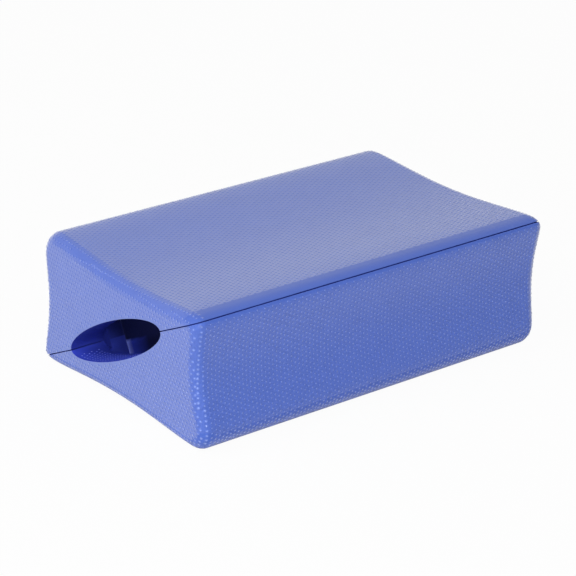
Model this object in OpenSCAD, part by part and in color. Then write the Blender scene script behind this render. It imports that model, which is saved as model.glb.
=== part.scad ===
// Foam yoga block made of two equal wedges that close on the plane from one long edge to the opposite one.
// X runs along the block, Y across it and Z up. The origin is the middle of the underside.

/* [Block] */
// Length over the seam, where the ends stand out furthest
block_length = 229; // [200:1:260]
// Width over the long sides
block_width = 151; // [135:0.5:175]
// Height from the resting edges to the top edges
block_height = 76; // [68:1:92]

/* [Form] */
// Depth of the hollow across the top and the underside
top_hollow = 3.5; // [1:0.1:5]
// Depth of the hollow along each long side
side_hollow = 3.5; // [1:0.1:5]
// Sweep of the hollows: 1 is a plain bow, 2 runs out softly at its edges
hollow_sweep = 1.5; // [1:0.1:2.5]
// Radius of the two long edges that the seam does not meet
edge_radius = 13.5; // [10:0.5:16]
// Width over which the top and the underside turn over to the seam
turn_width = 7.6; // [5:0.2:12]
// Height of that turn
turn_height = 4.1; // [3:0.1:7]
// Radius of the edges round each end
end_radius = 6.5; // [3:0.5:7]
// Width of the flat beside each long edge that the block rests on
rest_land = 3; // [2:0.5:8]
// Lean of each wedge's end faces, in degrees, so that it leaves its mould
end_draft = 3.3; // [0.5:0.1:5]

/* [Finger pockets] */
// Length of the oval mouth along the seam
mouth_length = 97; // [84:1:104]
// Height of the oval mouth across the seam
mouth_height = 21; // [16:0.5:23]
// Thickness of the end wall that the mouth goes through
lip_depth = 18.5; // [12:0.5:26]
// Length along the seam of the hollow behind the mouth
chamber_length = 83; // [70:1:90]
// Height across the seam of the hollow behind the mouth
chamber_height = 25; // [23:0.5:27]
// Reach of the hollow behind the end wall
chamber_reach = 11.5; // [10:0.5:24]
// Radius of the upright corners of that hollow
chamber_radius = 1; // [0.5:0.5:5]

/* [Seam] */
// Drop of the seam below the top of the long side that it comes out on
seam_drop = 1; // [0:0.1:2]
// Depth of the step round the edge of each closing face
seam_step = 0.3; // [0.1:0.05:1]
// Width of that step
seam_margin = 1; // [0.6:0.1:3]

/* [Facets] */
// Steps round each plain long edge
edge_steps = 10; // [6:1:14]
// Steps over each turned edge
turn_steps = 6; // [4:1:9]
// Steps round each end edge
end_steps = 7; // [4:1:10]
// Steps across half of a hollow
hollow_steps = 12; // [6:1:18]

/* [Hidden] */
foam_blue = [0.36, 0.44, 0.80];
$fn = 64;
half_l = block_length / 2;
half_w = block_width / 2;
half_h = block_height / 2;
// The seam falls from the front top edge to the rear bottom edge
seam_tilt = atan2(half_h - seam_drop, half_w);
// Share of an edge's size that is left where it is drawn in round an end
end_share = 0.5;
// Reach of the closing face from the middle of the block to the turned edge, a quarter of an oval
turn_y = half_w - turn_width;
turn_z = half_h - turn_height;
oval_a = pow(cos(seam_tilt) / turn_width, 2) + pow(sin(seam_tilt) / turn_height, 2);
oval_b = cos(seam_tilt) * turn_y / pow(turn_width, 2) + sin(seam_tilt) * turn_z / pow(turn_height, 2);
oval_c = pow(turn_y / turn_width, 2) + pow(turn_z / turn_height, 2) - 1;
seam_reach = (oval_b + sqrt(oval_b * oval_b - oval_a * oval_c)) / oval_a;
// Cutting solids run past the block by this much
past = block_length;
overrun = 2;

// Share of a hollow's depth at a distance u from its middle, from 0 to 1
function hollow(u) = pow(max(0, 1 - u * u), hollow_sweep);

// Half of the section, drawn in by e: up the rear side, round its top edge, across the top and over the
// turned edge to the front side
function half_section(e) =
    let (w = half_w - e, h = half_h - e, k = 1 - (1 - end_share) * e / end_radius)
    let (r = k * edge_radius, ty = k * turn_width, tz = k * turn_height)
    let (side_mid = (tz - r) / 2, side_half = h - (tz + r) / 2)
    let (top_mid = (ty - r) / 2, top_half = w - rest_land - (ty + r) / 2)
    concat(
        [for (i = [0 : 2 * hollow_steps - 1])
            let (u = i / hollow_steps - 1)
            [w - side_hollow * hollow(u), side_mid + u * side_half]],
        [for (i = [0 : edge_steps])
            let (a = 90 * i / edge_steps)
            [w - r + r * cos(a), h - r + r * sin(a)]],
        [for (i = [0 : 2 * hollow_steps])
            let (u = i / hollow_steps - 1)
            [top_mid - u * top_half, h - top_hollow * hollow(u)]],
        [for (i = [0 : turn_steps - 1])
            let (a = 90 * i / turn_steps)
            [ty - w - ty * sin(a), h - tz + tz * cos(a)]]
    );

// The whole section as a closed loop: the other half is the same one turned round
function section(e) =
    let (half = half_section(e))
    concat(half, [for (p = half) -p]);

// Distance of a section point above the seam, less than 0 on the lower wedge
function above_seam(p) = p.x * sin(seam_tilt) + p.y * cos(seam_tilt);

// Ring of points round one end: a is the angle round the end edge, side is -1 or 1
function ring(a, side) = [
    for (p = section(end_radius * (1 - sin(a))))
        let (x = half_l - end_radius * (1 - cos(a)) + above_seam(p) * tan(end_draft))
        [side * x, p.x, p.y + half_h]
];

// Moulded outline of the lower wedge, not yet cut at the seam: the section is swept along the
// block and drawn in round both ends
module moulded_outline() {
    n = len(section(0));
    turns = [for (k = [0 : end_steps]) 90 * k / end_steps];
    rings = concat(
        [for (a = turns) ring(a, -1)],
        [for (k = [end_steps : -1 : 0]) ring(turns[k], 1)]
    );
    last = len(rings) - 1;
    // The end faces are hollow-sided, so they are spanned from a point in their middle
    near_mid = (last + 1) * n;
    far_mid = near_mid + 1;
    walls = [
        for (k = [0 : last - 1], i = [0 : n - 1])
            let (p = k * n + i, q = k * n + (i + 1) % n)
            each [[p, q + n, q], [p, p + n, q + n]]
    ];
    near_end = [for (i = [0 : n - 1]) [near_mid, i, (i + 1) % n]];
    far_end = [for (i = [0 : n - 1]) [far_mid, last * n + (i + 1) % n, last * n + i]];
    polyhedron(
        points = concat([for (r = rings) each r], [[-half_l, 0, half_h], [half_l, 0, half_h]]),
        faces = concat(near_end, walls, far_end),
        convexity = 6
    );
}

// Frame of the seam: X along the block, Y down the seam to the rear, Z square to the seam
module in_seam() {
    translate([0, 0, half_h])
        rotate([-seam_tilt, 0, 0])
            children();
}

// Rectangle with round corners, about the origin
module round_rect(size, r) {
    square([size.x - 2 * r, size.y], center = true);
    square([size.x, size.y - 2 * r], center = true);
    for (x = [-1, 1], y = [-1, 1])
        translate([x * (size.x / 2 - r), y * (size.y / 2 - r)])
            circle(r);
}

// Finger pocket of one end: an oval mouth through the end wall and a taller hollow behind it
module finger_pocket() {
    translate([-half_l - overrun, 0, 0])
        rotate([0, 90, 0])
            linear_extrude(lip_depth + 2 * overrun)
                scale([mouth_height / 2, mouth_length / 2])
                    circle(1);
    translate([-half_l + lip_depth + chamber_reach / 2, 0, -chamber_height / 2])
        linear_extrude(chamber_height)
            round_rect([chamber_reach, chamber_length], chamber_radius);
}

// Closing face inside its stepped edge: it stops short of the outline and of both mouths
module closing_face() {
    difference() {
        round_rect([block_length - 2 * seam_margin, 2 * (seam_reach - seam_margin)], end_radius);
        for (side = [-1, 1])
            translate([side * half_l, 0])
                square([2 * lip_depth, mouth_length + 2 * seam_margin], center = true);
    }
}

// Step round the edge of the closing face, which shows as the dark line of the seam
module seam_edge_step() {
    difference() {
        translate([-past / 2 - overrun, -past / 2, -seam_step])
            cube([past + 2 * overrun, past, seam_step + overrun]);
        translate([0, 0, -seam_step - overrun])
            linear_extrude(seam_step + 3 * overrun)
                closing_face();
    }
}

// One wedge as it lies at the bottom of the closed block
module wedge() {
    difference() {
        moulded_outline();
        in_seam()
            translate([-past, -past, 0])
                cube([2 * past, 2 * past, past]);
        in_seam() {
            finger_pocket();
            mirror([1, 0, 0])
                finger_pocket();
        }
        in_seam()
            seam_edge_step();
    }
}

// Lower wedge: the underside and the front long side
module lower_wedge() {
    color(foam_blue)
        wedge();
}

// Upper wedge: the same moulding turned over about the block's long axis, with the top and the rear side
module upper_wedge() {
    color(foam_blue)
        translate([0, 0, block_height])
            rotate([180, 0, 0])
                wedge();
}

lower_wedge();
upper_wedge();
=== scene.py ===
import math

import bmesh
import bpy
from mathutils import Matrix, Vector


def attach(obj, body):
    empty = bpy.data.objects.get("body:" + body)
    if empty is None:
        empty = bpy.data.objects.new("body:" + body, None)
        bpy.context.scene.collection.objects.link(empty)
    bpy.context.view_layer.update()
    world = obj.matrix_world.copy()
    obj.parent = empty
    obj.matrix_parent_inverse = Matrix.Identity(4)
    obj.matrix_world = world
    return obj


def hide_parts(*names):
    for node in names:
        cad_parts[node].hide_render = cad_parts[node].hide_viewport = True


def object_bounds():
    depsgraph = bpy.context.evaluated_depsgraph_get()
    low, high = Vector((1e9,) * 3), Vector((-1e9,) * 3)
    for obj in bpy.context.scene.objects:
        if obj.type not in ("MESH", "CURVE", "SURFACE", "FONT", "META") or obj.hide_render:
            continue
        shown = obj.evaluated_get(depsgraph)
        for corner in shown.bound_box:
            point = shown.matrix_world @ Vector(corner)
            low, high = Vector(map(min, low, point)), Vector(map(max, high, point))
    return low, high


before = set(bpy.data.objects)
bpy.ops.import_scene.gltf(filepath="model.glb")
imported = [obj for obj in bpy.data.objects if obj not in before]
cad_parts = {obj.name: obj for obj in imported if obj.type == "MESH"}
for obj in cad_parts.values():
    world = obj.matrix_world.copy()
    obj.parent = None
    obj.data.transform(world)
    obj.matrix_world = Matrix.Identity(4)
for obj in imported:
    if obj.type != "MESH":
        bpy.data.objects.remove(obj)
cad_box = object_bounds()

# Lower wedge: one moulding of closed-cell foam that has the underside and the front long side.
# The mould leaves a thin satin skin and round edges, and half of each oval finger pocket lies in
# the closing face. The wedge lies loose against the upper one.
MM = 0.001
block_length = cad_box[1][0] - cad_box[0][0]
block_width = cad_box[1][1] - cad_box[0][1]
block_height = cad_box[1][2] - cad_box[0][2]
end_radius = 6.5 * MM
seam_drop = 1.0 * MM
seam_tilt = math.atan2(block_height / 2 - seam_drop, block_width / 2)
seam_middle = Vector((0.0, 0.0, block_height / 2))
seam_up = Vector((0.0, math.sin(seam_tilt), math.cos(seam_tilt)))
seam_down_slope = Vector((0.0, math.cos(seam_tilt), -math.sin(seam_tilt)))


def foam_noise(tree, scale, detail):
    """Noise through the foam, on the piece's own coordinates."""
    place = tree.nodes.new("ShaderNodeTexCoord")
    noise = tree.nodes.new("ShaderNodeTexNoise")
    noise.inputs["Scale"].default_value = scale
    noise.inputs["Detail"].default_value = detail
    tree.links.new(place.outputs["Object"], noise.inputs["Vector"])
    return noise.outputs["Fac"]


def foam_share(tree, name):
    """The share that the mesh carries under this name: polish, painted highlight, painted light and
    painted shade.
    """
    share = tree.nodes.new("ShaderNodeAttribute")
    share.attribute_name = name
    return share.outputs["Fac"]


def foam_mix(tree, share, first, second):
    """Mix of two colours, each a plain one or another node's output."""
    mix = tree.nodes.new("ShaderNodeMix")
    mix.data_type = "RGBA"
    tree.links.new(share, mix.inputs["Factor"])
    for label, colour in (("A", first), ("B", second)):
        if isinstance(colour, bpy.types.NodeSocket):
            tree.links.new(colour, mix.inputs[label])
        else:
            mix.inputs[label].default_value = colour
    return mix


def foam_gloss(tree, cells, least, most):
    """Roughness that follows the foam's cells."""
    gloss = tree.nodes.new("ShaderNodeMapRange")
    gloss.inputs["To Min"].default_value = least
    gloss.inputs["To Max"].default_value = most
    tree.links.new(cells, gloss.inputs["Value"])
    return gloss.outputs["Result"]


def foam_relief(tree, cells, strength, depth):
    """Fine bumps that follow the foam's cells."""
    bump = tree.nodes.new("ShaderNodeBump")
    bump.inputs["Strength"].default_value = strength
    bump.inputs["Distance"].default_value = depth
    tree.links.new(cells, bump.inputs["Height"])
    return bump.outputs["Normal"]


# Skin: satin blue with slow clouding, as foam takes its pigment unevenly, over fine cells. The
# crowns of the raised dots are painted paler as a painted highlight, and on the upright corners
# the whole dots and a little of the skin are painted paler as a painted sheen.
skin_blue = (0.066, 0.134, 0.546, 1.0)
skin_pale = (0.077, 0.153, 0.590, 1.0)
painted_highlight_blue = (0.160, 0.248, 0.700, 1.0)
cloud_scale, cloud_detail = 55.0, 4.0
skin_cell_scale, cell_detail = 1400.0, 3.0
skin_rough = (0.34, 0.48)
skin_relief = (0.35, 0.15 * MM)
dot_polish = 0.24
blue_foam = bpy.data.materials.new("blue_foam")
blue_foam.use_nodes = True
skin_tree = blue_foam.node_tree
skin_shader = skin_tree.nodes["Principled BSDF"]
skin_shader.inputs["IOR"].default_value = 1.5
skin_shader.inputs["Specular IOR Level"].default_value = 0.3
skin_shader.inputs["Sheen Weight"].default_value = 0.9
skin_shader.inputs["Sheen Roughness"].default_value = 0.45
skin_clouds = foam_noise(skin_tree, cloud_scale, cloud_detail)
skin_tone = foam_mix(skin_tree, skin_clouds, skin_blue, skin_pale).outputs["Result"]
# The crown and corner shares paint the skin paler, a painted highlight and painted sheen
painted_highlight_share = skin_tree.nodes.new("ShaderNodeMath")
painted_highlight_share.operation = "ADD"
skin_tree.links.new(foam_share(skin_tree, "crown"), painted_highlight_share.inputs[0])
skin_tree.links.new(foam_share(skin_tree, "corner"), painted_highlight_share.inputs[1])
skin_colour = foam_mix(skin_tree, painted_highlight_share.outputs["Value"], skin_tone, painted_highlight_blue)
skin_colour.clamp_factor = False
skin_tree.links.new(skin_colour.outputs["Result"], skin_shader.inputs["Base Color"])
skin_cells = foam_noise(skin_tree, skin_cell_scale, cell_detail)
skin_gloss = skin_tree.nodes.new("ShaderNodeMath")
skin_gloss.operation = "MULTIPLY_ADD"
skin_gloss.inputs[1].default_value = -dot_polish
skin_tree.links.new(foam_share(skin_tree, "dot"), skin_gloss.inputs[0])
skin_tree.links.new(foam_gloss(skin_tree, skin_cells, *skin_rough), skin_gloss.inputs[2])
skin_tree.links.new(skin_gloss.outputs["Value"], skin_shader.inputs["Roughness"])
skin_tree.links.new(foam_relief(skin_tree, skin_cells, *skin_relief), skin_shader.inputs["Normal"])


def dull_foam(name, roughness, specular):
    """The skin without its polish and with half of its bloom."""
    dull = blue_foam.copy()
    dull.name = name
    shader = dull.node_tree.nodes["Principled BSDF"]
    dull.node_tree.links.remove(shader.inputs["Roughness"].links[0])
    shader.inputs["Roughness"].default_value = roughness
    shader.inputs["Specular IOR Level"].default_value = specular
    shader.inputs["Sheen Weight"].default_value = 0.5
    return dull


# Hands rub the edges beside the seam, and the rounds that stand over the floor are scuffed
rubbed_foam = dull_foam("rubbed_foam", roughness=0.6, specular=0.2)
scuffed_foam = dull_foam("scuffed_foam", roughness=0.85, specular=0.05)

# The closing face and the walls of the pocket lack the skin's bloom, and the bare share paints
# them darker towards a deep navy, a painted shade
bare_blue = (0.040, 0.066, 0.560, 1.0)
painted_shade_navy = (0.004, 0.005, 0.022, 1.0)
painted_light_blue = (0.240, 0.300, 0.900, 1.0)
bare_cell_scale = 900.0
bare_rough = (0.60, 0.80)
bare_relief = (0.4, 0.2 * MM)
bare_foam = bpy.data.materials.new("bare_foam")
bare_foam.use_nodes = True
bare_tree = bare_foam.node_tree
bare_shader = bare_tree.nodes["Principled BSDF"]
bare_shader.inputs["IOR"].default_value = 1.5
bare_shader.inputs["Specular IOR Level"].default_value = 0.12
# Painted shade from the bare share, and painted light on the patch and dot tops from the crown share
bare_tone = foam_mix(bare_tree, foam_share(bare_tree, "bare"), bare_blue, painted_shade_navy)
bare_colour = foam_mix(
    bare_tree, foam_share(bare_tree, "crown"), bare_tone.outputs["Result"], painted_light_blue,
)
bare_tree.links.new(bare_colour.outputs["Result"], bare_shader.inputs["Base Color"])
bare_cells = foam_noise(bare_tree, bare_cell_scale, cell_detail)
bare_tree.links.new(foam_gloss(bare_tree, bare_cells, *bare_rough), bare_shader.inputs["Roughness"])
bare_tree.links.new(foam_relief(bare_tree, bare_cells, *bare_relief), bare_shader.inputs["Normal"])


def above_seam(point):
    return (point - seam_middle).dot(seam_up)


def along_seam(point):
    return (point - seam_middle).dot(seam_down_slope)


# The mouth's rim is the sharp edge near the end face, away from the seam
sharp_limit = math.radians(40)
rim_reach = 2.2 * MM
seam_clear = 0.6 * MM


def mouth_rim(rim):
    """True for an edge where the oval mouth breaks the end face."""
    if len(rim.link_faces) != 2 or rim.calc_face_angle(0.0) < sharp_limit:
        return False
    for corner in rim.verts:
        if block_length / 2 - abs(corner.co.x) > rim_reach:
            return False
        if abs(above_seam(corner.co)) < seam_clear:
            return False
    return True


# Painted shade and painted light, by place: the pocket is painted darker away from its mouth and
# on its ceiling, and the seam, the shelf and the faces under the bottom rounds are painted dark, all
# as painted shade; a paler patch low on the near pocket's back wall is painted light that stands for
# the light that falls there
seam_step = 0.4 * MM
pocket_reach = 30 * MM
pocket_half_height = 13 * MM
mouth_half_length = 49 * MM
shelf_inset = 20.5 * MM
wall_turn = 0.7
seam_dark = 0.6
shelf_dark = 0.6
pocket_dark = 0.6
rim_dark = 0.03
ceiling_dark = 0.4
back_dark = 0.92
under_dark = 0.35
under_turn = (-0.97, -0.08)
under_edge = -0.78
patch_dark = 0.05
patch_slope = 36 * MM
patch_fade = 20 * MM
patch_top = 2.5 * MM


def painted_shade_share(corners, normal):
    """The share of painted shade at each corner of a face: 0 on the skin, most deep in a pocket."""
    levels = [above_seam(corner) for corner in corners]
    slopes = [along_seam(corner) for corner in corners]
    insets = [block_length / 2 - abs(corner.x) for corner in corners]
    furthest = max(abs(level) for level in levels)
    # The closing faces in the seam: painted shade
    if furthest < seam_step:
        return [seam_dark] * len(corners)
    # The back wall: painted shade, but little on the patch of painted light low on the near wall
    if min(insets) > pocket_reach - seam_step:
        return [
            back_dark if corners[0].x > 0 or level > -patch_top - seam_step
            else min(back_dark, patch_dark + max(0.0, patch_slope - slope) / patch_fade)
            for level, slope in zip(levels, slopes)
        ]
    # Outside the pocket: painted shade on the faces under the bottom rounds that turn to the floor
    if max(abs(slope) for slope in slopes) > mouth_half_length or furthest > pocket_half_height:
        return [under_dark if under_turn[0] < normal.z < under_edge else 0.0] * len(corners)
    # The shelf where the mouth meets the chamber: painted shade
    if max(abs(inset - shelf_inset) for inset in insets) < seam_step:
        return [shelf_dark] * len(corners)
    if abs(normal.x) > wall_turn and max(insets) < rim_reach:
        return [0.0] * len(corners)
    # The pocket's walls: painted shade that deepens inwards, more on the ceiling than on the floor
    on_ceiling = max(levels) > seam_step
    least, most = (ceiling_dark, back_dark) if on_ceiling else (rim_dark, pocket_dark)
    return [max(least, most * (inset - rim_reach) / pocket_reach) for inset in insets]


# The turned edge beside the seam, which is drawn in round the ends with the rest of the section
band_slope = 74.9 * MM
band_level = 5.7 * MM
band_narrow = 0.81
band_turn = 0.5


def rubbed(middle, normal):
    """True on the turned edge beside the seam."""
    inset = min(end_radius, max(0.0, block_length / 2 - abs(middle.x)))
    drawn_in = end_radius - math.sqrt(end_radius ** 2 - (end_radius - inset) ** 2)
    on_band = abs(along_seam(middle)) > band_slope - band_narrow * drawn_in
    return on_band and abs(above_seam(middle)) < band_level and abs(normal.z) > band_turn


# The skin comes first on a wedge, then these foams. Over the floor it is scuffed up to a height, and
# where it turns round an upright corner it is painted a little paler, a painted sheen
bare_slot, rubbed_slot, scuffed_slot = 1, 2, 3
under_height = 13 * MM
corner_turn = 0.6
corner_painted_sheen = 0.1


def finish_skin(shape):
    """Gives each face of a wedge its foam, and each corner its painted shade and its painted light.
    """
    shape.materials.clear()
    for material in (blue_foam, bare_foam, rubbed_foam, scuffed_foam):
        shape.materials.append(material)
    for name in ("bare", "crown"):
        shape.attributes.new(name, "FLOAT", "CORNER")
    dark, painted_light = (shape.attributes[name].data for name in ("bare", "crown"))
    for face in shape.polygons:
        face.use_smooth = True
        corners = [shape.vertices[index].co for index in face.vertices]
        shares = painted_shade_share(corners, face.normal)
        over_floor = face.center.z < under_height
        if max(shares) > 0:
            face.material_index = bare_slot
        elif over_floor and under_turn[0] < face.normal.z < under_turn[1]:
            face.material_index = scuffed_slot
        elif rubbed(face.center, face.normal):
            face.material_index = rubbed_slot
        for loop, share in zip(face.loop_indices, shares):
            dark[loop].value = share
            # Painted sheen on the skin's upright corners, and painted light on the back wall's patch
            if face.material_index != bare_slot:
                bend = shape.vertices[shape.loops[loop].vertex_index].normal
                turned = min(abs(bend.x), abs(bend.y)) / corner_turn
                painted_light[loop].value = corner_painted_sheen * min(1.0, turned ** 2)
            elif share == patch_dark:
                painted_light[loop].value = 1.0
    shape.set_sharp_from_angle(angle=sharp_limit)


# The loose triangles are merged and flat ones joined, the rim of each mouth is made soft, and the
# back wall of each pocket is cut where its painted shade and painted light change
merge_gap = 0.002 * MM
flat_limit = math.radians(0.05)
rim_round = 0.6 * MM
rim_facets = 2
back_cuts = (36 * MM, 27 * MM, 18 * MM)
patch_drop = 4.5 * MM


def foam_wedge(node_name, piece_name):
    """The moulded wedge with soft mouth rims and shading that follows its rounds."""
    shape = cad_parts[node_name].data.copy()
    shape.name = piece_name
    for leftover in ("custom_normal", "sharp_edge", "sharp_face"):
        if leftover in shape.attributes:
            shape.attributes.remove(shape.attributes[leftover])
    work = bmesh.new()
    work.from_mesh(shape)
    bmesh.ops.remove_doubles(work, verts=work.verts, dist=merge_gap)
    bmesh.ops.dissolve_limit(
        work, angle_limit=flat_limit, use_dissolve_boundaries=False,
        verts=work.verts, edges=work.edges, delimit=set(),
    )
    bmesh.ops.bevel(
        work, geom=[rim for rim in work.edges if mouth_rim(rim)], offset=rim_round,
        offset_type="OFFSET", segments=rim_facets, profile=0.5, affect="EDGES",
        clamp_overlap=True, material=-1,
    )
    cuts = [(seam_middle + seam_down_slope * place, seam_down_slope) for place in back_cuts]
    cuts += [(seam_middle - seam_up * drop, seam_up) for drop in (patch_top, patch_drop)]
    for place, square_to in cuts:
        back = [
            face for face in work.faces
            if min(block_length / 2 - abs(corner.co.x) for corner in face.verts)
            > pocket_reach - seam_step
        ]
        around = {part for face in back for part in (*face.edges, *face.verts)}
        bmesh.ops.bisect_plane(
            work, geom=back + list(around), plane_co=place, plane_no=square_to,
        )
    work.to_mesh(shape)
    work.free()
    finish_skin(shape)
    wedge = bpy.data.objects.new(piece_name, shape)
    bpy.context.scene.collection.objects.link(wedge)
    settle = wedge.modifiers.new("even_shading", "WEIGHTED_NORMAL")
    settle.keep_sharp = True
    graph = bpy.context.evaluated_depsgraph_get()
    finished = bpy.data.meshes.new_from_object(wedge.evaluated_get(graph))
    wedge.modifiers.clear()
    wedge.data = finished
    return wedge


lower_foam = foam_wedge("lower_wedge", "lower_foam")
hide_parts("lower_wedge")
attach(lower_foam, "root")

# Upper wedge: the same moulding turned over, of the same foam, with the top and the rear side.
# It only lies on the lower wedge, so a thin dark line shows along the seam: the gap's own shade and
# painted shade on its closing faces.
upper_foam = foam_wedge("upper_wedge", "upper_foam")
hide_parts("upper_wedge")
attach(upper_foam, "root")

# Raised dots: the mould is dimpled all over, so the foam's skin carries low round dots in
# staggered rows, for grip. The columns go round the girth, and both ends and the mouth's lips
# have rows of their own. The dots are part of the moulding and of the same foam.
dot_pitch = 2.667 * MM
dot_radius = 0.92 * MM
dot_crown = 0.42 * MM
dot_height = 0.21 * MM
dot_sink = 0.04 * MM
dot_sides = 6
dot_spread = (0.92, 1.08)
spread_seed = 7

dots = bpy.data.node_groups.new("raised_dots", "GeometryNodeTree")
for label, kind in (
    ("Skin", "NodeSocketGeometry"), ("Length", "NodeSocketFloat"), ("Width", "NodeSocketFloat"),
    ("Height", "NodeSocketFloat"), ("Edge radius", "NodeSocketFloat"),
    ("Pitch", "NodeSocketFloat"), ("Dot radius", "NodeSocketFloat"),
    ("Dot crown", "NodeSocketFloat"), ("Dot height", "NodeSocketFloat"),
    ("Lip side", "NodeSocketFloat"), ("Foam", "NodeSocketMaterial"),
    ("Bare foam", "NodeSocketMaterial"),
):
    dots.interface.new_socket(label, in_out="INPUT", socket_type=kind)
dots.interface.new_socket("Dots", in_out="OUTPUT", socket_type="NodeSocketGeometry")
dots_in = dots.nodes.new("NodeGroupInput")
dots_out = dots.nodes.new("NodeGroupOutput")


def plug(source, socket):
    """Links a node's output to a socket of the dots tree, or sets a plain value there."""
    if isinstance(source, bpy.types.NodeSocket):
        dots.links.new(source, socket)
    else:
        socket.default_value = source


def active(sockets, name):
    """The socket of this name that the node's present type uses."""
    return next(socket for socket in sockets if socket.name == name and socket.enabled)


def feed(node, **sources):
    """Fills the named inputs of a node; an underscore stands for a space."""
    for label, source in sources.items():
        plug(source, node.inputs[label.replace("_", " ")])
    return node


def add(kind, **sources):
    return feed(dots.nodes.new(kind), **sources)


def sums(operation, *terms):
    """One plain sum in the dots tree."""
    node = dots.nodes.new("ShaderNodeMath")
    node.operation = operation
    for socket, term in zip(node.inputs, terms):
        plug(term, socket)
    return node.outputs["Value"]


def vectors(operation, output, *terms):
    """One vector sum in the dots tree."""
    node = dots.nodes.new("ShaderNodeVectorMath")
    node.operation = operation
    places = [socket for socket in node.inputs if socket.name == "Vector"]
    for socket, term in zip(places, terms):
        plug(term, socket)
    return node.outputs[output]


def scaled(vector, factor):
    node = dots.nodes.new("ShaderNodeVectorMath")
    node.operation = "SCALE"
    return feed(node, Vector=vector, Scale=factor).outputs["Vector"]


def placed(x, y, z):
    return add("ShaderNodeCombineXYZ", X=x, Y=y, Z=z).outputs["Vector"]


def parted(vector):
    return add("ShaderNodeSeparateXYZ", Vector=vector).outputs


def from_seam(point, way):
    """Distance of a point from the middle of the seam, in one direction."""
    off_middle = vectors("SUBTRACT", "Vector", point, tuple(seam_middle))
    return vectors("DOT_PRODUCT", "Value", off_middle, tuple(way))


def marked(geometry, name, value, kind, domain):
    """The geometry with a named value stored on it."""
    store = dots.nodes.new("GeometryNodeStoreNamedAttribute")
    store.data_type = kind
    store.domain = domain
    feed(store, Geometry=geometry, Name=name)
    plug(value, active(store.inputs, "Value"))
    return store.outputs["Geometry"]


def aimed_points(count, start, aim):
    """Points at the places start, each with the direction in which it drops onto the skin."""
    cloud = add("GeometryNodePoints", Count=count)
    moved = add("GeometryNodeSetPosition", Geometry=cloud.outputs["Points"], Position=start)
    return marked(moved.outputs["Geometry"], "aim", aim, "FLOAT_VECTOR", "POINT")


size_x, size_y, size_z = (dots_in.outputs[name] for name in ("Length", "Width", "Height"))
half_x = sums("MULTIPLY", size_x, 0.5)
pitch = dots_in.outputs["Pitch"]
row_pitch = sums("MULTIPLY", pitch, math.sqrt(3) / 2)
number = add("GeometryNodeInputIndex").outputs["Index"]


def staggered(per_row):
    """The row of each point and its step in that row; every other row is half a step on."""
    row = sums("FLOOR", sums("DIVIDE", sums("ADD", number, 0.5), per_row))
    place = sums("SUBTRACT", number, sums("MULTIPLY", row, per_row))
    return row, sums("ADD", place, sums("MULTIPLY", sums("MODULO", row, 2.0), 0.5))


# Columns round the girth: the rounded section is walked in even steps
edge_round = 8 * MM
edge_facets = 12
corner_inset = 1.5 * MM
cast_from = 5 * MM
girth_box = add("GeometryNodeCurvePrimitiveQuadrilateral", Width=size_y, Height=size_z)
girth_round = dots.nodes.new("GeometryNodeFilletCurve")
girth_round.mode = "POLY"
feed(girth_round, Curve=girth_box.outputs["Curve"], Count=edge_facets,
     Radius=dots_in.outputs["Edge radius"])
girth = girth_round.outputs["Curve"]
girth_length = add("GeometryNodeCurveLength", Curve=girth).outputs["Length"]
per_column = sums("ROUND", sums("DIVIDE", girth_length, pitch))
column_span = sums("SUBTRACT", size_x, 2 * corner_inset)
column_gaps = sums("FLOOR", sums("DIVIDE", column_span, row_pitch))
columns = sums("ADD", column_gaps, 1.0)
column, girth_step = staggered(per_column)
walk = dots.nodes.new("GeometryNodeSampleCurve")
walk.mode = "FACTOR"
walk.use_all_curves = True
feed(walk, Curves=girth)
plug(sums("FRACT", sums("DIVIDE", girth_step, per_column)), active(walk.inputs, "Factor"))
girth_spot = parted(walk.outputs["Position"])
girth_way = parted(walk.outputs["Tangent"])
square_out = placed(girth_way["Y"], sums("MULTIPLY", girth_way["X"], -1.0), 0.0)
outside = sums("SIGN", vectors("DOT_PRODUCT", "Value", square_out, walk.outputs["Position"]))
square = parted(scaled(square_out, outside))
outward = placed(0.0, square["X"], square["Y"])
column_x = sums("MULTIPLY", sums("SUBTRACT", column, sums("MULTIPLY", column_gaps, 0.5)),
                sums("DIVIDE", column_span, column_gaps))
on_girth = placed(column_x, girth_spot["X"],
                  sums("ADD", girth_spot["Y"], sums("MULTIPLY", size_z, 0.5)))
clouds = [aimed_points(
    sums("MULTIPLY", columns, per_column),
    vectors("ADD", "Vector", on_girth, scaled(outward, cast_from)),
    scaled(outward, -1.0),
)]

# Rows across both ends
per_row = sums("FLOOR", sums("DIVIDE", size_y, pitch))
rows = sums("FLOOR", sums("DIVIDE", size_z, row_pitch))
row, row_step = staggered(per_row)
row_y = sums("MULTIPLY", pitch, sums("SUBTRACT", row_step, sums("MULTIPLY", per_row, 0.5)))
row_z = sums("MULTIPLY", sums("ADD", row, 0.5), row_pitch)
for side in (-1.0, 1.0):
    end_x = sums("MULTIPLY", sums("ADD", half_x, cast_from), side)
    inward = add("FunctionNodeInputVector")
    inward.vector = (-side, 0.0, 0.0)
    clouds.append(aimed_points(sums("MULTIPLY", rows, per_row), placed(end_x, row_y, row_z),
                               inward.outputs["Vector"]))

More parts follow.
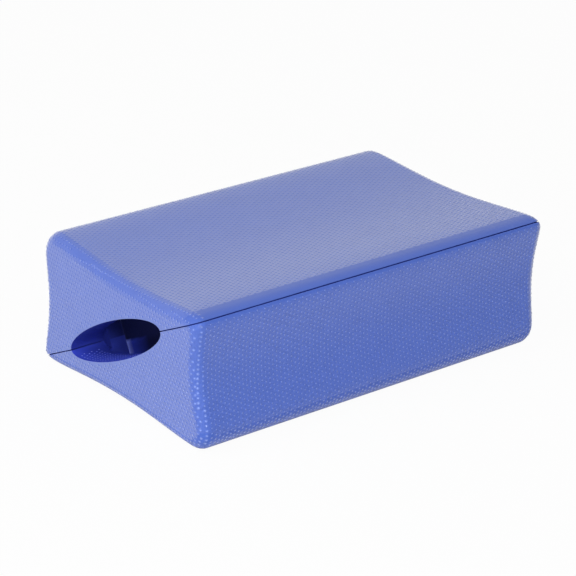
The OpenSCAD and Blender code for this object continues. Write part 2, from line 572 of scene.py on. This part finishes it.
# Rows on the lips of both mouths, dropped from the seam into the wedge
mouth_half = 47 * MM
lip_start = 2.8 * MM
lip_end = 17.5 * MM
per_lip_row = sums("FLOOR", sums("DIVIDE", 2 * mouth_half, pitch))
lip_rows = sums("FLOOR", sums("DIVIDE", lip_end - lip_start, row_pitch))
lip_row, lip_step = staggered(per_lip_row)
lip_slope = sums("SUBTRACT", sums("MULTIPLY", pitch, lip_step), mouth_half)
lip_inset = sums("ADD", lip_start, sums("MULTIPLY", lip_row, row_pitch))
into_wedge = scaled(tuple(seam_up), dots_in.outputs["Lip side"])
for side in (-1.0, 1.0):
    lip_x = sums("MULTIPLY", sums("SUBTRACT", half_x, lip_inset), side)
    on_seam = vectors("ADD", "Vector", scaled(tuple(seam_down_slope), lip_slope),
                      tuple(seam_middle))
    lip_spot = vectors("ADD", "Vector", on_seam, placed(lip_x, 0.0, 0.0))
    clouds.append(aimed_points(sums("MULTIPLY", lip_rows, per_lip_row), lip_spot, into_wedge))

# All points drop onto the skin
cast_reach = 18 * MM
gather = dots.nodes.new("GeometryNodeJoinGeometry")
for cloud in clouds:
    dots.links.new(cloud, gather.inputs["Geometry"])
aim_mark = dots.nodes.new("GeometryNodeInputNamedAttribute")
aim_mark.data_type = "FLOAT_VECTOR"
feed(aim_mark, Name="aim")
aim = active(aim_mark.outputs, "Attribute")
drop = add("GeometryNodeRaycast", Ray_Direction=aim, Ray_Length=cast_reach)
dots.links.new(dots_in.outputs["Skin"], drop.inputs["Target Geometry"])
hit, hit_way = drop.outputs["Hit Position"], drop.outputs["Hit Normal"]
hit_x, hit_z = parted(hit)["X"], parted(hit)["Z"]
hit_level = from_seam(hit, seam_up)
hit_slope = from_seam(hit, seam_down_slope)
hit_inset = sums("SUBTRACT", half_x, sums("ABSOLUTE", hit_x))
hit_steep = parted(hit_way)["Z"]

# A dot stands where the skin faces its point, clear of the seam, of the mouth's rim, of the rubbed
# edge, of the rounds over the floor and of the flats that the block rests on
girth_facing = 0.70
end_facing = 0.71
dot_clear = 1.0 * MM
rest_clear = 0.25 * MM
rim_clear = 1.3 * MM
mouth_oval = (48.5 * MM, 10.5 * MM)
under_clear = -0.55
facing_limit = sums("MULTIPLY_ADD", sums("ABSOLUTE", parted(aim)["X"]),
                    girth_facing - end_facing, -girth_facing)
faces_point = sums("LESS_THAN", vectors("DOT_PRODUCT", "Value", hit_way, aim), facing_limit)
off_seam = sums("GREATER_THAN", sums("ABSOLUTE", hit_level), dot_clear)
off_floor = sums("GREATER_THAN", hit_z, rest_clear)
oval_terms = [
    sums("POWER", sums("ABSOLUTE", sums("DIVIDE", distance, reach + rim_clear)), 2.0)
    for distance, reach in zip((hit_slope, hit_level), mouth_oval)
]
off_rim = sums("MAXIMUM", sums("GREATER_THAN", sums("ADD", *oval_terms), 1.0),
               sums("GREATER_THAN", hit_inset, rim_reach))
off_band = sums("MAXIMUM", sums("LESS_THAN", sums("ABSOLUTE", hit_slope), band_slope),
                sums("LESS_THAN", sums("ABSOLUTE", hit_steep), band_turn))
off_band = sums("MAXIMUM", off_band, sums("LESS_THAN", hit_inset, end_radius))
off_under = sums("MAXIMUM", sums("GREATER_THAN", hit_steep, under_clear),
                 sums("LESS_THAN", hit_steep, under_turn[0]))
good = drop.outputs["Is Hit"]
for test in (faces_point, off_seam, off_floor, off_rim, off_band, off_under):
    good = sums("MULTIPLY", good, test)
keep = dots.nodes.new("GeometryNodeCaptureAttribute")
keep.domain = "POINT"
for kind, label, source in (("FLOAT", "Good", good), ("VECTOR", "Spot", hit),
                            ("VECTOR", "Out", hit_way)):
    keep.capture_items.new(kind, label)
    dots.links.new(source, keep.inputs[label])
dots.links.new(gather.outputs["Geometry"], keep.inputs["Geometry"])
weed = add("GeometryNodeDeleteGeometry", Geometry=keep.outputs["Geometry"],
           Selection=sums("LESS_THAN", keep.outputs["Good"], 0.5))
weed.domain = "POINT"
seated = add("GeometryNodeSetPosition", Geometry=weed.outputs["Geometry"],
             Position=keep.outputs["Spot"])

# The dots on the upright corners are painted paler, a painted highlight
corner_painted_glint = 0.9
out_way = parted(keep.outputs["Out"])
turned_out = sums("MINIMUM", sums("ABSOLUTE", out_way["X"]), sums("ABSOLUTE", out_way["Y"]))
turned_out = sums("MINIMUM", sums("POWER", sums("DIVIDE", turned_out, corner_turn), 2.0), 1.0)
stood = marked(seated.outputs["Geometry"], "corner", sums("MULTIPLY", turned_out, corner_painted_glint),
               "FLOAT", "POINT")

# One dot: a low six-sided dome with a flat underside, sunk a little into the skin
dome = dots.nodes.new("GeometryNodeMeshCone")
dome.fill_type = "NGON"
feed(dome, Vertices=dot_sides, Radius_Top=dots_in.outputs["Dot crown"],
     Radius_Bottom=dots_in.outputs["Dot radius"], Depth=dots_in.outputs["Dot height"])
# The crown of each dot is marked, so that the skin there is painted paler, a painted highlight
crowned = marked(dome.outputs["Mesh"], "crown", dome.outputs["Top"], "FLOAT", "FACE")
polished = marked(crowned, "dot", 1.0, "FLOAT", "FACE")
sunk = add("GeometryNodeTransform", Geometry=polished, Translation=(0, 0, -dot_sink))
smooth = add("GeometryNodeSetShadeSmooth", Geometry=sunk.outputs["Geometry"])
crisp = add("GeometryNodeSetShadeSmooth", Geometry=smooth.outputs["Geometry"],
            Selection=dome.outputs["Bottom"], Shade_Smooth=False)
crisp.domain = "EDGE"
turn = add("FunctionNodeAlignRotationToVector", Vector=keep.outputs["Out"])
turn.axis = "Z"
spread = dots.nodes.new("FunctionNodeRandomValue")
spread.data_type = "FLOAT"
for label, value in zip(("Min", "Max"), dot_spread):
    plug(value, active(spread.inputs, label))
feed(spread, Seed=spread_seed)
stand = add("GeometryNodeInstanceOnPoints", Points=stood, Instance=crisp.outputs["Geometry"],
            Rotation=turn.outputs["Rotation"], Scale=active(spread.outputs, "Value"))
real = add("GeometryNodeRealizeInstances", Geometry=stand.outputs["Instances"])

# The dots are of skin, and those inside a pocket of bare foam
paint = add("GeometryNodeSetMaterial", Geometry=real.outputs["Geometry"],
            Material=dots_in.outputs["Foam"])
dot_spot = add("GeometryNodeInputPosition").outputs["Position"]
dot_end = sums("ABSOLUTE", parted(dot_spot)["X"])
dot_level = sums("ABSOLUTE", from_seam(dot_spot, seam_up))
dot_slope = sums("ABSOLUTE", from_seam(dot_spot, seam_down_slope))
in_pocket = sums("MULTIPLY", sums("LESS_THAN", dot_level, pocket_half_height),
                 sums("LESS_THAN", dot_slope, mouth_half_length))
in_pocket = sums("MULTIPLY", in_pocket,
                 sums("LESS_THAN", dot_end, sums("SUBTRACT", half_x, rim_reach)))
paint_bare = add("GeometryNodeSetMaterial", Geometry=paint.outputs["Geometry"],
                 Selection=in_pocket, Material=dots_in.outputs["Bare foam"])
dots.links.new(paint_bare.outputs["Geometry"], dots_out.inputs["Dots"])


def raise_dots(skin, piece_name, lip_side):
    """The dots of one wedge as a plain mesh."""
    piece = bpy.data.objects.new(piece_name, skin.data.copy())
    bpy.context.scene.collection.objects.link(piece)
    mould = piece.modifiers.new("raised_dots", "NODES")
    mould.node_group = dots
    sizes = {
        "Length": block_length, "Width": block_width, "Height": block_height,
        "Edge radius": edge_round, "Pitch": dot_pitch, "Dot radius": dot_radius,
        "Dot crown": dot_crown, "Dot height": dot_height, "Lip side": lip_side,
        "Foam": blue_foam, "Bare foam": bare_foam,
    }
    for item in dots.interface.items_tree:
        if item.in_out == "INPUT" and item.name in sizes:
            mould[item.identifier] = sizes[item.name]
    graph = bpy.context.evaluated_depsgraph_get()
    finished = bpy.data.meshes.new_from_object(piece.evaluated_get(graph))
    piece.modifiers.clear()
    piece.data = finished
    return piece


lower_dots = raise_dots(lower_foam, "lower_dots", lip_side=-1.0)
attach(lower_dots, "root")
upper_dots = raise_dots(upper_foam, "upper_dots", lip_side=1.0)
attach(upper_dots, "root")

# Floor: a wide sheet of white paper under the block. It fades into the white surroundings and
# keeps the block's faint shadow.
floor_half = 3.0
floor_drop = 0.4 * MM
floor_white = (0.80, 0.80, 0.80, 1.0)
floor_glow = 0.96
floor_corners = ((-1, -1), (1, -1), (1, 1), (-1, 1))
floor_shape = bpy.data.meshes.new("floor")
floor_shape.from_pydata(
    [(x * floor_half, y * floor_half, -floor_drop) for x, y in floor_corners],
    [], [(0, 1, 2, 3)],
)
floor = bpy.data.objects.new("floor", floor_shape)
bpy.context.scene.collection.objects.link(floor)


def seen_share(tree):
    """1 for a ray that shows the surroundings, straight, in gloss or through glass, else 0."""
    sight = tree.nodes.new("ShaderNodeLightPath")
    seen = sight.outputs["Is Camera Ray"]
    for ray in ("Is Glossy Ray", "Is Transmission Ray"):
        either = tree.nodes.new("ShaderNodeMath")
        either.operation = "MAXIMUM"
        tree.links.new(seen, either.inputs[0])
        tree.links.new(sight.outputs[ray], either.inputs[1])
        seen = either.outputs["Value"]
    return seen


paper = bpy.data.materials.new("white_paper")
paper.use_nodes = True
paper_tree = paper.node_tree
paper_tree.nodes.clear()
paper_out = paper_tree.nodes.new("ShaderNodeOutputMaterial")
paper_matt = paper_tree.nodes.new("ShaderNodeBsdfDiffuse")
paper_matt.inputs["Color"].default_value = floor_white
paper_glow = paper_tree.nodes.new("ShaderNodeEmission")
paper_share = paper_tree.nodes.new("ShaderNodeMath")
paper_share.operation = "MULTIPLY"
paper_share.inputs[1].default_value = floor_glow
paper_mix = paper_tree.nodes.new("ShaderNodeMixShader")
paper_tree.links.new(seen_share(paper_tree), paper_share.inputs[0])
paper_tree.links.new(paper_share.outputs["Value"], paper_mix.inputs[0])
paper_tree.links.new(paper_matt.outputs["BSDF"], paper_mix.inputs[1])
paper_tree.links.new(paper_glow.outputs["Emission"], paper_mix.inputs[2])
paper_tree.links.new(paper_mix.outputs["Shader"], paper_out.inputs["Surface"])
floor_shape.materials.append(paper)

# Light: white surroundings, a wide soft box high over the left end, smaller ones in front and low
# at the near corner that put a spark on the dots, and a faint one at the right end.
world_light = 0.26
world_white = 1.0
world = bpy.data.worlds.new("studio")
bpy.context.scene.world = world
world.use_nodes = True
world_glow = world.node_tree.nodes["Background"]
world_glow.inputs["Color"].default_value = (1.0, 1.0, 1.0, 1.0)
world_level = world.node_tree.nodes.new("ShaderNodeMapRange")
world_level.inputs["To Min"].default_value = world_light
world_level.inputs["To Max"].default_value = world_white
world.node_tree.links.new(seen_share(world.node_tree), world_level.inputs["Value"])
world.node_tree.links.new(world_level.outputs["Result"], world_glow.inputs["Strength"])


def towards(bearing, height):
    """Direction from the block to a lamp or the camera, by two angles in degrees."""
    turn_by, rise_by = math.radians(bearing), math.radians(height)
    return Vector((
        math.sin(turn_by) * math.cos(rise_by),
        -math.cos(turn_by) * math.cos(rise_by),
        math.sin(rise_by),
    ))


lamp_reach = 1.5
for lamp_name, lamp_bearing, lamp_height, lamp_size, power in (
    ("left_softbox", -100, 45, 0.9, 8.2),
    ("front_softbox", -36, 34, 0.35, 8.6),
    ("corner_softbox", -53, 7, 0.14, 4.0),
    ("right_softbox", 110, 12, 0.9, 2.0),
):
    lamp = bpy.data.lights.new(lamp_name, "AREA")
    lamp.shape = "SQUARE"
    lamp.size = lamp_size
    lamp.energy = power
    lamp_object = bpy.data.objects.new(lamp_name, lamp)
    bpy.context.scene.collection.objects.link(lamp_object)
    lamp_back = towards(lamp_bearing, lamp_height)
    lamp_object.location = seam_middle + lamp_back * lamp_reach
    lamp_object.rotation_euler = (-lamp_back).to_track_quat("-Z", "Y").to_euler()

# Camera: at the left front corner, a little above the block, as in the photograph. Its focal
# length and its shift are in pixels of a picture that is 576 wide and high.
picture_side = 576
camera_bearing = -36.77
camera_height = 23.42
camera_reach = 1.1853
camera_focus = 2183.12
picture_shift = (4.36, 0.16)
camera_back = towards(camera_bearing, camera_height)
camera_lens = bpy.data.cameras.new("camera")
camera_lens.sensor_width = 36.0
camera_lens.lens = camera_focus * camera_lens.sensor_width / picture_side
camera_lens.shift_x = -picture_shift[0] / picture_side
camera_lens.shift_y = picture_shift[1] / picture_side
camera = bpy.data.objects.new("camera", camera_lens)
bpy.context.scene.collection.objects.link(camera)
camera.location = seam_middle + camera_back * camera_reach
camera.rotation_euler = (-camera_back).to_track_quat("-Z", "Y").to_euler()
bpy.context.scene.camera = camera
bpy.context.scene.view_settings.view_transform = "Standard"
